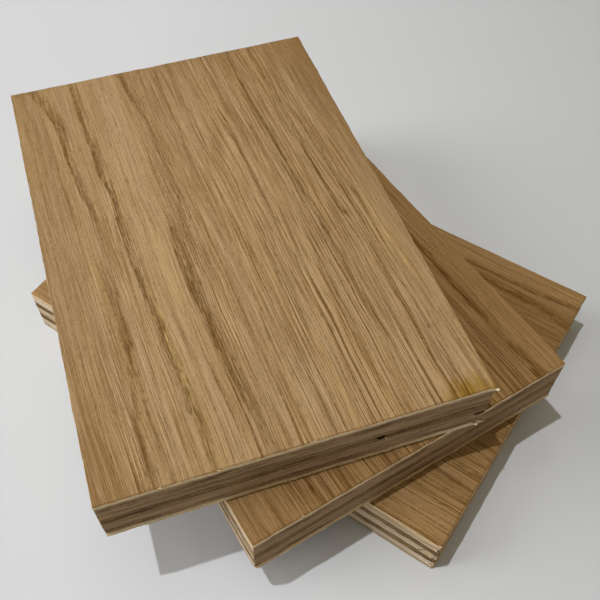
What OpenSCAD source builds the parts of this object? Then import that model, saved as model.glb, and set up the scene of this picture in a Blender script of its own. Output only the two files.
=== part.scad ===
// A fanned stack of equal plywood sheets, each one a glued lay-up of crossed plies between oak veneers.
// Lengths are in millimetres and angles in degrees. The bottom sheet lies square to the axes with the
// grain of its faces along Y. The origin is the centre of its underside, and +Z is up.

/* [Sheet] */
// Length of a sheet, along the grain of its faces
sheet_l = 150; // [120:1:240]
// Width of a sheet, across the grain of its faces
sheet_w = 100; // [80:1:160]
// Easing of the sawn arrises round both faces
arris = 0.3; // [0.1:0.05:0.5]

/* [Lay-up] */
// Thickness of the veneer on the face and on the back
veneer_t = 1.2; // [0.6:0.1:2]
// Thickness of each outer ply, with its grain along the sheet
outer_ply_t = 3.1; // [2:0.1:4.5]
// Thickness of each crossband, with its grain across the sheet
crossband_t = 2.8; // [2:0.1:4.5]
// Thickness of the centre ply, with its grain along the sheet
centre_ply_t = 3.3; // [2:0.1:5]

/* [Fan] */
// Turn of the middle sheet from the bottom one, seen from above
middle_turn = -24.6; // [-60:0.1:60]
// Sideways shift of the middle sheet's centre
middle_shift_x = -5.4; // [-15:0.1:15]
// Endways shift of the middle sheet's centre
middle_shift_y = 9.7; // [-15:0.1:15]
// Turn of the top sheet from the bottom one, seen from above
top_turn = -37.5; // [-60:0.1:60]
// Sideways shift of the top sheet's centre
top_shift_x = -14.6; // [-25:0.1:25]
// Endways shift of the top sheet's centre
top_shift_y = 22; // [-25:0.1:25]

/* [Core voids] */
// Width of the open knot void in the top sheet's centre ply
knot_w = 2.8; // [1:0.1:6]
// Height of the open knot void
knot_h = 1.5; // [0.6:0.1:1.8]
// Depth of the open knot void
knot_depth = 4; // [1:0.5:10]
// Distance of the knot void from the sheet's right side
knot_inset = 30; // [10:0.5:60]
// Width of the split in the top sheet's lower crossband
split_w = 3.4; // [1:0.1:6]
// Height of the split
split_h = 0.9; // [0.3:0.1:1.5]
// Depth of the split
split_depth = 6; // [1:0.5:12]
// Distance of the split from the sheet's right side
split_inset = 2.2; // [2:0.1:20]
// Width of the pin knot in the middle sheet's lower ply
pin_knot_w = 1.8; // [0.6:0.1:4]
// Height of the pin knot
pin_knot_h = 1; // [0.4:0.1:1.8]
// Depth of the pin knot
pin_knot_depth = 2; // [0.5:0.5:6]
// Distance of the pin knot from the sheet's right side
pin_knot_inset = 12; // [5:0.5:60]

/* [Broken corners] */
// Reach along the grain of the break in each ply at the bottom sheet's torn corner
tear_along = 2.6; // [1:0.1:10]
// Reach across the grain of that break
tear_across = 1; // [0.5:0.1:4]
// Reach along the grain of the chip in a veneer at a knocked corner
chip_along = 2.2; // [0.6:0.1:5]
// Reach across the grain of that chip
chip_across = 0.9; // [0.4:0.1:2]
// Bulge of a break beyond the straight line between its two ends
break_bulge = 0.12; // [0:0.02:0.4]

/* [Hidden] */
$fn = 96;

// Heights of the glue lines above a sheet's underside
lower_ply_z = veneer_t;
lower_crossband_z = lower_ply_z + outer_ply_t;
centre_ply_z = lower_crossband_z + crossband_t;
upper_crossband_z = centre_ply_z + centre_ply_t;
upper_ply_z = upper_crossband_z + crossband_t;
face_veneer_z = upper_ply_z + outer_ply_t;
sheet_t = face_veneer_z + veneer_t;

// Sheets by their level in the stack, each with its shift and turn
BOTTOM = 0;
MIDDLE = BOTTOM + 1;
TOP = MIDDLE + 1;
SHIFT = [[0, 0], [middle_shift_x, middle_shift_y], [top_shift_x, top_shift_y]];
TURN = [0, middle_turn, top_turn];

// Sides of a sheet that a knocked corner can lie on, seen from its near end
LEFT = "left";
RIGHT = "right";

// How far a cutting shape runs past the surface that it cuts
overrun = 1;

OAK = "#b38f5d";
LONG_GRAIN = "#d6c09c";
CROSS_GRAIN = "#8f7350";

// Puts a layer at its height in one sheet of the fan
module in_sheet(sheet, z) {
    translate([SHIFT[sheet].x, SHIFT[sheet].y, sheet * sheet_t + z])
        rotate([0, 0, TURN[sheet]])
            children();
}

// A layer with square sawn edges, centred on the sheet
module plate(t) {
    translate([-sheet_w / 2, -sheet_l / 2, 0])
        cube([sheet_w, sheet_l, t]);
}

// Section of a veneer with its outer arrises eased
module eased_section(width) {
    polygon([
        [-width / 2, 0],
        [width / 2, 0],
        [width / 2, veneer_t - arris],
        [width / 2 - arris, veneer_t],
        [-width / 2 + arris, veneer_t],
        [-width / 2, veneer_t - arris]
    ]);
}

// A veneer with its good side up, eased on all four sides
module veneer_plate() {
    intersection() {
        rotate([90, 0, 0])
            linear_extrude(sheet_l, center = true)
                eased_section(sheet_w);
        rotate([90, 0, 90])
            linear_extrude(sheet_w, center = true)
                eased_section(sheet_l);
    }
}

// The same veneer with its good side down
module back_veneer_plate() {
    translate([0, 0, veneer_t])
        mirror([0, 0, 1])
            veneer_plate();
}

// Cuts a broken corner off the near end of a layer, with a reach along each of its two sides
module broken_corner(side, reach_x, reach_y, t) {
    knee = 0.5 + break_bulge;
    mirror([side == RIGHT ? 1 : 0, 0, 0])
        translate([-sheet_w / 2, -sheet_l / 2, -overrun])
            linear_extrude(t + 2 * overrun)
                polygon([
                    [-overrun, -overrun],
                    [reach_x, -overrun],
                    [reach_x, 0],
                    [knee * reach_x, knee * reach_y],
                    [0, reach_y],
                    [-overrun, reach_y]
                ]);
}

// Lens-shaped hollow that opens in the near end of a layer, halfway up it
module end_void(inset, w, h, depth, t) {
    lens_r = (w * w + h * h) / (4 * h);
    translate([sheet_w / 2 - inset, -sheet_l / 2 - overrun, t / 2])
        rotate([-90, 0, 0])
            intersection() {
                translate([0, lens_r - h / 2, 0])
                    cylinder(h = depth + overrun, r = lens_r);
                translate([0, h / 2 - lens_r, 0])
                    cylinder(h = depth + overrun, r = lens_r);
            }
}

// A layer with its grain along the sheet, torn where the bottom sheet's corner is
module long_grain_layer(sheet, t) {
    difference() {
        plate(t);
        if (sheet == BOTTOM)
            broken_corner(LEFT, tear_across, tear_along, t);
    }
}

// A layer with its grain across the sheet, torn the other way at the same corner
module cross_grain_layer(sheet, t) {
    difference() {
        plate(t);
        if (sheet == BOTTOM)
            broken_corner(LEFT, tear_along, tear_across, t);
    }
}

// Chip in a veneer at the corner that each sheet was knocked on
module veneer_chip(sheet) {
    broken_corner(sheet == TOP ? RIGHT : LEFT, chip_across, chip_along, veneer_t);
}

module back_veneer(sheet) {
    color(OAK)
        in_sheet(sheet, 0)
            difference() {
                back_veneer_plate();
                veneer_chip(sheet);
            }
}

module lower_ply(sheet) {
    color(LONG_GRAIN)
        in_sheet(sheet, lower_ply_z)
            difference() {
                long_grain_layer(sheet, outer_ply_t);
                if (sheet == MIDDLE)
                    end_void(pin_knot_inset, pin_knot_w, pin_knot_h, pin_knot_depth, outer_ply_t);
            }
}

module lower_crossband(sheet) {
    color(CROSS_GRAIN)
        in_sheet(sheet, lower_crossband_z)
            difference() {
                cross_grain_layer(sheet, crossband_t);
                if (sheet == TOP)
                    end_void(split_inset, split_w, split_h, split_depth, crossband_t);
            }
}

module centre_ply(sheet) {
    color(LONG_GRAIN)
        in_sheet(sheet, centre_ply_z)
            difference() {
                long_grain_layer(sheet, centre_ply_t);
                if (sheet == TOP)
                    end_void(knot_inset, knot_w, knot_h, knot_depth, centre_ply_t);
            }
}

module upper_crossband(sheet) {
    color(CROSS_GRAIN)
        in_sheet(sheet, upper_crossband_z)
            cross_grain_layer(sheet, crossband_t);
}

module upper_ply(sheet) {
    color(LONG_GRAIN)
        in_sheet(sheet, upper_ply_z)
            long_grain_layer(sheet, outer_ply_t);
}

module face_veneer(sheet) {
    color(OAK)
        in_sheet(sheet, face_veneer_z)
            difference() {
                veneer_plate();
                veneer_chip(sheet);
            }
}

back_veneer(BOTTOM);  // bottom_back_veneer
lower_ply(BOTTOM);  // bottom_lower_ply
lower_crossband(BOTTOM);  // bottom_lower_crossband
centre_ply(BOTTOM);  // bottom_centre_ply
upper_crossband(BOTTOM);  // bottom_upper_crossband
upper_ply(BOTTOM);  // bottom_upper_ply
face_veneer(BOTTOM);  // bottom_face_veneer
back_veneer(MIDDLE);  // middle_back_veneer
lower_ply(MIDDLE);  // middle_lower_ply
lower_crossband(MIDDLE);  // middle_lower_crossband
centre_ply(MIDDLE);  // middle_centre_ply
upper_crossband(MIDDLE);  // middle_upper_crossband
upper_ply(MIDDLE);  // middle_upper_ply
face_veneer(MIDDLE);  // middle_face_veneer
back_veneer(TOP);  // top_back_veneer
lower_ply(TOP);  // top_lower_ply
lower_crossband(TOP);  // top_lower_crossband
centre_ply(TOP);  // top_centre_ply
upper_crossband(TOP);  // top_upper_crossband
upper_ply(TOP);  // top_upper_ply
face_veneer(TOP);  // top_face_veneer
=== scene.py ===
"""A fanned stack of oak-veneered plywood sheets: sawn plies, torn corners and figured faces."""
import logging
import math
import random
from collections.abc import Callable, Mapping, Sequence
from dataclasses import dataclass, field
from enum import Enum
from typing import TypeVar

import bmesh
import bpy
from mathutils import Matrix, Vector


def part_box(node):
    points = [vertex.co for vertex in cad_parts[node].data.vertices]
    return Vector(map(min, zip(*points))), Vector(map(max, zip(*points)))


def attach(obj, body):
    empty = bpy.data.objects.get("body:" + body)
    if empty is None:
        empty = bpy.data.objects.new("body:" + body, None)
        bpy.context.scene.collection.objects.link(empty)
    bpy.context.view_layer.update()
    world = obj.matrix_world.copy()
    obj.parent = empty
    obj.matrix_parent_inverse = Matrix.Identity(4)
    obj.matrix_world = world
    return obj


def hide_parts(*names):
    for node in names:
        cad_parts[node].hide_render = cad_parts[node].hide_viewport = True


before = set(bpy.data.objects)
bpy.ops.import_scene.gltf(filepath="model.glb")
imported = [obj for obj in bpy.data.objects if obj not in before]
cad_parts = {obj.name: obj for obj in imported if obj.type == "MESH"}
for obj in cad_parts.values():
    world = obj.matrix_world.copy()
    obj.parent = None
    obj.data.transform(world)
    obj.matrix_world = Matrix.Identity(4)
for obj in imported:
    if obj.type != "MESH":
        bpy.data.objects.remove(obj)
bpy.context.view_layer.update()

LOG = logging.getLogger("plywood_stack")
BODY = "root"

# Lengths in this script are in millimetres unless a name says otherwise, and the meshes are in metres.
MM = 0.001

# A piece with fewer faces than this was lost by the boolean that cut it
FEWEST_FACES = 9


class Grain(Enum):
    """Which way the fibres of a layer run, as a direction in its sheet."""

    ALONG = (0.0, 1.0, 0.0)
    ACROSS = (1.0, 0.0, 0.0)


class Side(Enum):
    """Side of a sheet, seen from its near end."""

    LEFT = -1
    RIGHT = 1


class Layer(Enum):
    """The seven layers of a sheet, from its underside up."""

    BACK_VENEER = "back_veneer"
    LOWER_PLY = "lower_ply"
    LOWER_CROSSBAND = "lower_crossband"
    CENTRE_PLY = "centre_ply"
    UPPER_CROSSBAND = "upper_crossband"
    UPPER_PLY = "upper_ply"
    FACE_VENEER = "face_veneer"

    @property
    def is_veneer(self) -> bool:
        """Whether this is one of the two oak layers."""
        return self in (Layer.BACK_VENEER, Layer.FACE_VENEER)

    @property
    def is_crossband(self) -> bool:
        """Whether the fibres of this layer run across the sheet."""
        return self in (Layer.LOWER_CROSSBAND, Layer.UPPER_CROSSBAND)

    @property
    def grain(self) -> Grain:
        """The way the fibres of this layer run."""
        return Grain.ACROSS if self.is_crossband else Grain.ALONG

    @property
    def slot(self) -> str:
        """The record's material slot for this layer."""
        core = "crossband" if self.is_crossband else "long_ply"
        return "oak_veneer" if self.is_veneer else core


def linear(code: str) -> tuple[float, float, float, float]:
    """Turns a screen colour into shader values, by the sRGB curve.

    Args:
        code: Six hexadecimal digits of red, green and blue.

    Returns:
        The linear colour with full alpha.
    """
    channels = [int(code[i:i + 2], 16) / 255 for i in (0, 2, 4)]
    return (*[c / 12.92 if c <= 0.04045 else ((c + 0.055) / 1.055) ** 2.4 for c in channels], 1.0)


@dataclass(frozen=True)
class Pattern:
    """A soft random pattern, drawn out along the axes that have few blotches.

    blotches: Number of blotches for each millimetre across, along and up the sheet.
    shift: Keeps it apart from the other patterns of its surface.
    detail: Number of finer octaves.
    roughness: Strength of those octaves.
    """

    blotches: tuple[float, ...]
    shift: float
    detail: float = 2.0
    roughness: float = 0.5


class Value:
    """A shader socket that takes part in Python arithmetic."""

    def __init__(self, graph: "Graph", socket: bpy.types.NodeSocket) -> None:
        """Wraps an output socket of a graph."""
        self.graph = graph
        self.socket = socket

    def math(self, operation: str, *operands: "Value | float", clamp: bool = False) -> "Value":
        """Adds one Math node.

        Args:
            operation: The node's operation.
            operands: What its sockets take, in order.
            clamp: Whether the result is kept between 0 and 1.

        Returns:
            The node's result.
        """
        settings = {"operation": operation, "use_clamp": clamp}
        return self.graph.add("ShaderNodeMath", settings, dict(enumerate(operands)))

    def __add__(self, other: "Value | float") -> "Value":
        """Sum."""
        return self.math("ADD", self, other)

    def __radd__(self, other: float) -> "Value":
        """Sum with a number on the left."""
        return self.math("ADD", other, self)

    def __sub__(self, other: "Value | float") -> "Value":
        """Difference."""
        return self.math("SUBTRACT", self, other)

    def __rsub__(self, other: float) -> "Value":
        """Difference from a number on the left."""
        return self.math("SUBTRACT", other, self)

    def __mul__(self, other: "Value | float") -> "Value":
        """Product."""
        return self.math("MULTIPLY", self, other)

    def __rmul__(self, other: float) -> "Value":
        """Product with a number on the left."""
        return self.math("MULTIPLY", other, self)

    def __truediv__(self, other: "Value | float") -> "Value":
        """Quotient."""
        return self.math("DIVIDE", self, other)

    def __abs__(self) -> "Value":
        """Distance from zero."""
        return self.math("ABSOLUTE", self)

    def clamped(self) -> "Value":
        """Kept between 0 and 1."""
        return self.math("ADD", self, 0.0, clamp=True)

    def larger(self, other: "Value | float") -> "Value":
        """The larger of two values."""
        return self.math("MAXIMUM", self, other)


Input = Value | float | tuple[float, ...]


class Graph:
    """The node graph of one material, or of the world."""

    # How far one step of a seed moves a pattern along each axis
    SEED_STRIDES = (7.31, 3.17, 5.53)

    # Numbers of a Mix node's two colours and of its mixed colour
    MIX_COLOURS = (6, 7)
    MIX_RESULT = 2

    def __init__(self, owner: bpy.types.Material | bpy.types.World) -> None:
        """Clears the nodes of what the graph belongs to.

        Args:
            owner: The material or world.
        """
        self.owner = owner
        owner.use_nodes = True
        self.tree = owner.node_tree
        self.tree.nodes.clear()

    @classmethod
    def of_material(cls, name: str) -> "Graph":
        """Starts a new material."""
        return cls(bpy.data.materials.new(name))

    def add(
        self,
        kind: str,
        settings: Mapping[str, object] | None = None,
        sockets: Mapping[int | str, Input] | None = None,
        output: int | str = 0,
    ) -> Value:
        """Adds one node.

        Args:
            kind: The node's type.
            settings: Properties that are set first.
            sockets: The value or link of each input socket.
            output: The output that is wanted.

        Returns:
            That output, wrapped.
        """
        node = self.tree.nodes.new(kind)
        for key, setting in (settings or {}).items():
            if key == "points":
                self._draw(node.mapping, setting)
            else:
                setattr(node, key, setting)
        for key, value in (sockets or {}).items():
            if isinstance(value, Value):
                self.tree.links.new(value.socket, node.inputs[key])
            else:
                node.inputs[key].default_value = value
        return Value(self, node.outputs[output])

    @staticmethod
    def _draw(mapping: bpy.types.CurveMapping, points: Sequence[tuple[float, float]]) -> None:
        """Draws the curve of a curve node.

        Args:
            mapping: The node's curves.
            points: What the first of them goes through.
        """
        curve = mapping.curves[0]
        curve.points[0].location = points[0]
        curve.points[-1].location = points[-1]
        for point in points[1:-1]:
            curve.points.new(*point)
        mapping.update()

    def curve(self, value: Value, points: Sequence[tuple[float, float]]) -> Value:
        """Follows a smooth curve through points between 0 and 1."""
        return self.add("ShaderNodeFloatCurve", {"points": points}, {"Value": value})

    def vector(self, x: Input, y: Input, z: Input) -> Value:
        """Joins three numbers into a vector."""
        return self.add("ShaderNodeCombineXYZ", sockets={0: x, 1: y, 2: z})

    def parts(self, vector: Value) -> tuple[Value, Value, Value]:
        """Splits a vector.

        Args:
            vector: The vector.

        Returns:
            Its three numbers.
        """
        first = self.add("ShaderNodeSeparateXYZ", sockets={0: vector})
        outputs = first.socket.node.outputs
        return first, Value(self, outputs[1]), Value(self, outputs[2])

    def dot(self, vector: Value, direction: Sequence[float]) -> Value:
        """How far a vector reaches along a fixed direction."""
        sockets = {0: vector, 1: tuple(direction)}
        return self.add("ShaderNodeVectorMath", {"operation": "DOT_PRODUCT"}, sockets, "Value")

    def noise(self, position: Value, pattern: Pattern, seed: float) -> Value:
        """Reads a random pattern.

        Args:
            position: Where the surface is.
            pattern: The pattern.
            seed: Moves it to another part of the noise.

        Returns:
            Values round about one half.
        """
        offset = tuple((seed + pattern.shift) * stride for stride in self.SEED_STRIDES)
        sockets = {0: position, 1: pattern.blotches, 2: offset}
        moved = self.add("ShaderNodeVectorMath", {"operation": "MULTIPLY_ADD"}, sockets)
        sockets = {"Vector": moved, "Scale": 1.0, "Detail": pattern.detail, "Roughness": pattern.roughness}
        return self.add("ShaderNodeTexNoise", {"noise_dimensions": "3D"}, sockets, "Fac")

    def step(self, value: Value, low: Input, high: Input) -> Value:
        """Rises smoothly from 0 at one limit to 1 at the other."""
        sockets = {0: value, 1: low, 2: high}
        return self.add("ShaderNodeMapRange", {"interpolation_type": "SMOOTHSTEP"}, sockets)

    def blend(self, below: Value | str, above: Value | str, share: Input, mode: str = "MIX") -> Value:
        """Lays one colour over another.

        Args:
            below: The first colour, or its code.
            above: The second colour, or its code.
            share: How much of the second shows.
            mode: How they are mixed.

        Returns:
            The mixed colour.
        """
        colours = [linear(c) if isinstance(c, str) else c for c in (below, above)]
        settings = {"data_type": "RGBA", "blend_type": mode}
        sockets = {0: share} | dict(zip(self.MIX_COLOURS, colours))
        return self.add("ShaderNodeMix", settings, sockets, self.MIX_RESULT)

    def finish(
        self,
        colour: Value,
        roughness: Input,
        height: Value,
        relief: float,
        gloss: float,
    ) -> bpy.types.Material:
        """Closes the graph with a wood surface.

        Args:
            colour: The base colour.
            roughness: The roughness.
            height: Relief of the surface, from 0 to 1.
            relief: Depth of that relief in millimetres.
            gloss: Strength of the reflection.

        Returns:
            The finished material.
        """
        sockets = {"Strength": 1.0, "Distance": relief * MM, "Height": height}
        bump = self.add("ShaderNodeBump", sockets=sockets)
        sockets = {"Base Color": colour, "Roughness": roughness, "Normal": bump, "Specular IOR Level": gloss}
        surface = self.add("ShaderNodeBsdfPrincipled", sockets=sockets)
        self.add_output(surface)
        return self.owner

    def add_output(self, surface: Value) -> None:
        """Closes the graph of the material, or of the world.

        Args:
            surface: The shader that it shows.
        """
        is_world = isinstance(self.owner, bpy.types.World)
        node = self.tree.nodes.new("ShaderNodeOutputWorld" if is_world else "ShaderNodeOutputMaterial")
        self.tree.links.new(surface.socket, node.inputs["Surface"])


@dataclass(frozen=True)
class Ring:
    """One growth ring on a face, traced from the far end to the near one.

    tail: How far its pores reach beyond its sharp edge.
    trace: Points of distance from the far end, distance from the left side, and strength.
    pale: Whether it is a bright streak and not a dark one.
    """

    tail: float
    trace: tuple[tuple[float, float, float], ...]
    pale: bool = False


@dataclass(frozen=True)
class Stain:
    """A yellow mark on a face, by its place in the sheet and its size."""

    x: float
    y: float
    radius: float


@dataclass(frozen=True)
class Figure:
    """The grain figure of one sheet's face.

    rings: The growth rings that stand out.
    drift: Sideways run of the grain for each millimetre of length.
    wander: How far the grain strays from straight.
    tones: Darkness of the ground between the rings, by distance from the left side.
    clarity: How strongly the fine lines show, by distance from the left side.
    tint: Colour of this sheet's oak, over that of the finish.
    seed: Makes each sheet's fine grain its own.
    far: How much darker the far end is.
    twist: How much the far right and near left corners are darker than the other two.
    stain: A mark on the face, if it has one.
    """

    rings: tuple[Ring, ...]
    drift: float
    wander: float
    tones: tuple[tuple[float, float], ...]
    clarity: tuple[tuple[float, float], ...]
    tint: str
    seed: float
    far: float = 0.0
    twist: float = 0.0
    stain: Stain | None = None


@dataclass(frozen=True)
class EndVoid:
    """A hollow that opens in the near end of one layer, by its place and size."""

    layer: Layer
    inset: float
    width: float
    height: float
    depth: float


@dataclass(frozen=True)
class TornCorner:
    """A corner of the near end that is broken off in some layers.

    side: The side that the corner is on.
    along: Reach of the break along the fibres.
    across: Reach of the break across the fibres.
    layers: The layers that are broken, each with the share of the reach that it lost.
    """

    side: Side
    along: float
    across: float
    layers: tuple[tuple[Layer, float], ...]


@dataclass(frozen=True)
class Crack:
    """A split across the sawn left side of one layer.

    layer: The layer that is split.
    distance: How far it is from the near end.
    width: Its gape.
    depth: How far it runs into the sheet.
    lean: Its tilt from upright, in degrees.
    """

    layer: Layer
    distance: float
    width: float
    depth: float
    lean: float


@dataclass(frozen=True)
class Splinter:
    """A sliver that stands proud of a layer, from its root towards its tip.

    layer: The layer that it belongs to.
    root: Where it starts, from the left lower corner of the layer's near end.
    length, width, thickness: Its size.
    yaw, pitch: Turn from the sheet's length, and lift, in degrees.
    """

    layer: Layer
    root: tuple[float, float, float]
    length: float
    width: float
    thickness: float
    yaw: float
    pitch: float


def deselect() -> None:
    """Clears the selection, so that the next primitive is worked on alone."""
    bpy.ops.object.select_all(action="DESELECT")


def pick(piece: bpy.types.Object) -> None:
    """Selects a piece alone and makes it the active one.

    Args:
        piece: The piece.
    """
    deselect()
    piece.select_set(True)
    bpy.context.view_layer.objects.active = piece


class Bench:
    """Edit-mode handwork on one mesh."""

    def __init__(self, piece: bpy.types.Object) -> None:
        """Puts a piece on the bench, alone and active."""
        self.piece = piece
        pick(piece)

    def __enter__(self) -> "Bench":
        """Opens the mesh."""
        bpy.ops.object.mode_set(mode="EDIT")
        return self

    def __exit__(self, *_: object) -> None:
        """Closes the mesh."""
        bpy.ops.object.mode_set(mode="OBJECT")

    def _mark(self, mode: str, kind: str, test: Callable[..., bool]) -> None:
        """Selects the elements of one kind that pass a test.

        Args:
            mode: Select mode of that kind.
            kind: Name of the mesh's list of that kind.
            test: What an element has to pass.
        """
        bpy.ops.mesh.select_mode(type=mode)
        bpy.ops.mesh.select_all(action="DESELECT")
        mesh = bmesh.from_edit_mesh(self.piece.data)
        for element in filter(test, getattr(mesh, kind)):
            element.select_set(True)
        mesh.select_flush_mode()
        bmesh.update_edit_mesh(self.piece.data)

    def edges(self, test: Callable[[Vector, Vector], bool]) -> None:
        """Selects the edges whose two ends pass a test."""
        self._mark("EDGE", "edges", lambda e: test(e.verts[0].co, e.verts[1].co))

    def points(self, test: Callable[[Vector], bool]) -> None:
        """Selects the vertices whose place passes a test."""
        self._mark("VERT", "verts", lambda v: test(v.co))

    def group(self, name: str) -> None:
        """Keeps the selected vertices as a group.

        Args:
            name: The group's name.
        """
        self.piece.vertex_groups.new(name=name)
        self.piece.vertex_groups.active_index = len(self.piece.vertex_groups) - 1
        bpy.ops.object.vertex_group_assign()


def settle(piece: bpy.types.Object) -> None:
    """Puts a piece's place, turn and size into its mesh."""
    pick(piece)
    bpy.ops.object.transform_apply(location=True, rotation=True, scale=True)


def apply_modifier(piece: bpy.types.Object, name: str) -> None:
    """Makes one modifier of a piece part of its mesh."""
    pick(piece)
    bpy.ops.object.modifier_apply(modifier=name)


def cut(piece: bpy.types.Object, cutter: bpy.types.Object) -> None:
    """Takes a cutter's shape out of a piece, and throws the cutter away.

    Args:
        piece: The piece.
        cutter: The shape that is taken out.
    """
    modifier = piece.modifiers.new("cut", "BOOLEAN")
    modifier.operation = "DIFFERENCE"
    modifier.solver = "EXACT"
    modifier.object = cutter
    apply_modifier(piece, modifier.name)
    bpy.data.objects.remove(cutter)
    if len(piece.data.polygons) < FEWEST_FACES:
        raise RuntimeError(f"{piece.name} is lost after a cut")


def block(place: tuple[float, float, float] = (0, 0, 0)) -> bpy.types.Object:
    """Adds a cube with sides of one unit.

    Args:
        place: Its centre.

    Returns:
        The cube.
    """
    deselect()
    bpy.ops.mesh.primitive_cube_add(size=1, location=place)
    return bpy.context.active_object


def pebble(facets: int, roughness: float, seed: int) -> bpy.types.Object:
    """Makes a rough ball of unit radius to cut hollows with.

    Args:
        facets: How often its faces are divided.
        roughness: How far its points stray.
        seed: Makes its shape its own.

    Returns:
        The ball, at the origin.
    """
    deselect()
    bpy.ops.mesh.primitive_ico_sphere_add(subdivisions=facets, radius=1)
    ball = bpy.context.active_object
    with Bench(ball):
        bpy.ops.mesh.select_all(action="SELECT")
        bpy.ops.transform.vertex_random(offset=roughness, uniform=0.2, normal=0.6, seed=seed)
    return ball


@dataclass
class Plate:
    """One sawn layer, modelled square to its sheet at its height in the stack.

    name: Name of the finished piece.
    width, length: Size of the sheet.
    low, high: Heights of its two glue lines or faces.
    layer: Which layer of the lay-up it is.
    seed: Makes its rough edges its own.
    piece: The plate's object, once it is built.
    """

    name: str
    width: float
    length: float
    low: float
    high: float
    layer: Layer
    seed: int
    piece: bpy.types.Object = field(init=False)

    # Sawn edges: pitch and rows of their points, their easing, and how far their fibres stray
    END_PITCH = 0.5
    SIDE_PITCH = 0.9
    ROWS = 2
    CORNER_ROUND = 0.34
    GLUE_LINE = 0.07
    VENEER_ARRIS = 0.2
    VENEER_FRAY = 0.22
    CORE_FRAY = 0.28

    # How far the lower lip of the near end is drawn out
    BURR = 0.3

    # Shares of the height, each with the share of the burr that is added below it
    BURR_STEPS = ((0.5, 0.65), (0.85, 0.35))

    # Broken corners: the cutter's bulk, how far it runs past the break and the layer, its pitch and roughness
    TEAR_BULK = 6.0
    TEAR_OVERLAP = 3.0
    TEAR_OVERRUN = 1.0
    TEAR_PITCH = 0.4
    TEAR_ROW = 0.6
    TEAR_ROUGHNESS = 0.3

    # Least and largest size of a bite across, along and up the sheet
    BITE_SIZES = ((0.25, 0.8), (0.25, 0.5), (0.2, 0.4))
    BITE_REACH = 0.48

    # How far a cut for a crack runs past the layer
    CRACK_OVERRUN = 0.6

    # Places along a sliver, from its tip back, and the share of its thickness that is left there
    SLIVER_TAPER = ((0.99, 0.12), (0.8, 0.4), (0.6, 0.7))

    @property
    def thickness(self) -> float:
        """Distance of its two glue lines or faces."""
        return self.high - self.low

    @property
    def middle(self) -> float:
        """Height halfway up the layer."""
        return (self.low + self.high) / 2

    def build(self) -> None:
        """Saws the plate out: an outline, filled, drawn up to its thickness and eased."""
        deselect()
        bpy.ops.mesh.primitive_plane_add(size=1, location=(0, 0, self.low * MM))
        self.piece = bpy.context.active_object
        self.piece.name = self.name
        self.piece.scale = (self.width * MM, self.length * MM, 1)
        settle(self.piece)
        rise = {"value": (0, 0, self.thickness * MM)}
        with Bench(self.piece) as bench:
            bpy.ops.mesh.select_all(action="SELECT")
            bpy.ops.mesh.delete(type="ONLY_FACE")
            bench.edges(lambda a, b: abs(a.x - b.x) > MM)
            bpy.ops.mesh.subdivide(number_cuts=round(self.width / self.END_PITCH) - 1)
            bench.edges(lambda a, b: abs(a.y - b.y) > self.SIDE_PITCH * MM)
            bpy.ops.mesh.subdivide(number_cuts=round(self.length / self.SIDE_PITCH) - 1)
            bpy.ops.mesh.select_all(action="SELECT")
            bpy.ops.mesh.edge_face_add()
            bpy.ops.mesh.extrude_region_move(TRANSFORM_OT_translate=rise)
            self._close()
            self._ease(bench)
            self._mark_edges(bench)
            if self.layer is Layer.BACK_VENEER:
                self._turn_out_burr(bench)

    @staticmethod
    def _close() -> None:
        """Closes the underside, if it is open, and points all faces outwards."""
        bpy.ops.mesh.select_mode(type="EDGE")
        bpy.ops.mesh.select_all(action="DESELECT")
        bpy.ops.mesh.select_non_manifold()
        bpy.ops.mesh.fill_holes(sides=0)
        bpy.ops.mesh.select_all(action="SELECT")
        bpy.ops.mesh.normals_make_consistent(inside=False)

    def _ease(self, bench: Bench) -> None:
        """Rounds the upright corners, and eases the arris of a veneer or the lips of a glue line.

        Args:
            bench: The bench that the plate is on.
        """
        rise = self.thickness * MM
        half_w, half_l = self.width / 2 * MM, self.length / 2 * MM

        def at_corner(a: Vector, b: Vector) -> bool:
            """Whether an edge is one of the four upright corners."""
            upright = abs(a.z - b.z) > rise / 2
            return upright and abs(a.x) > half_w - MM / 10 and abs(a.y) > half_l - MM / 10

        bench.edges(at_corner)
        bpy.ops.mesh.bevel(offset=self.CORNER_ROUND * MM, segments=3, affect="EDGES")
        bench.edges(lambda a, b: abs(a.z - b.z) > rise / 2)
        bpy.ops.mesh.subdivide(number_cuts=self.ROWS)
        for height, good_side in ((self.low, Layer.BACK_VENEER), (self.high, Layer.FACE_VENEER)):
            level = height * MM
            bench.edges(lambda a, b: abs(a.z - level) < rise / 50 and abs(b.z - level) < rise / 50)
            arris = self.VENEER_ARRIS if self.layer is good_side else self.GLUE_LINE
            bpy.ops.mesh.bevel(offset=arris * MM, segments=2, affect="EDGES")

    def _mark_edges(self, bench: Bench) -> None:
        """Keeps the sawn ends and sides as groups, for the marks of the saw.

        Args:
            bench: The bench that the plate is on.
        """
        reach = MM / 2
        bench.points(lambda p: abs(p.y) > self.length / 2 * MM - reach)
        bench.group("ends")
        bench.points(lambda p: abs(p.x) > self.width / 2 * MM - reach)
        bench.group("sides")

    def _turn_out_burr(self, bench: Bench) -> None:
        """Draws out the lower lip of the near end, where the saw left the sheet.

        Args:
            bench: The bench that the plate is on.
        """
        near_end = (0.5 - self.length / 2) * MM
        for share_up, share_out in self.BURR_STEPS:
            top = (self.low + share_up * self.thickness) * MM
            bench.points(lambda p: p.y < near_end and p.z < top)
            bpy.ops.transform.translate(value=(0, -share_out * self.BURR * MM, 0))

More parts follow.
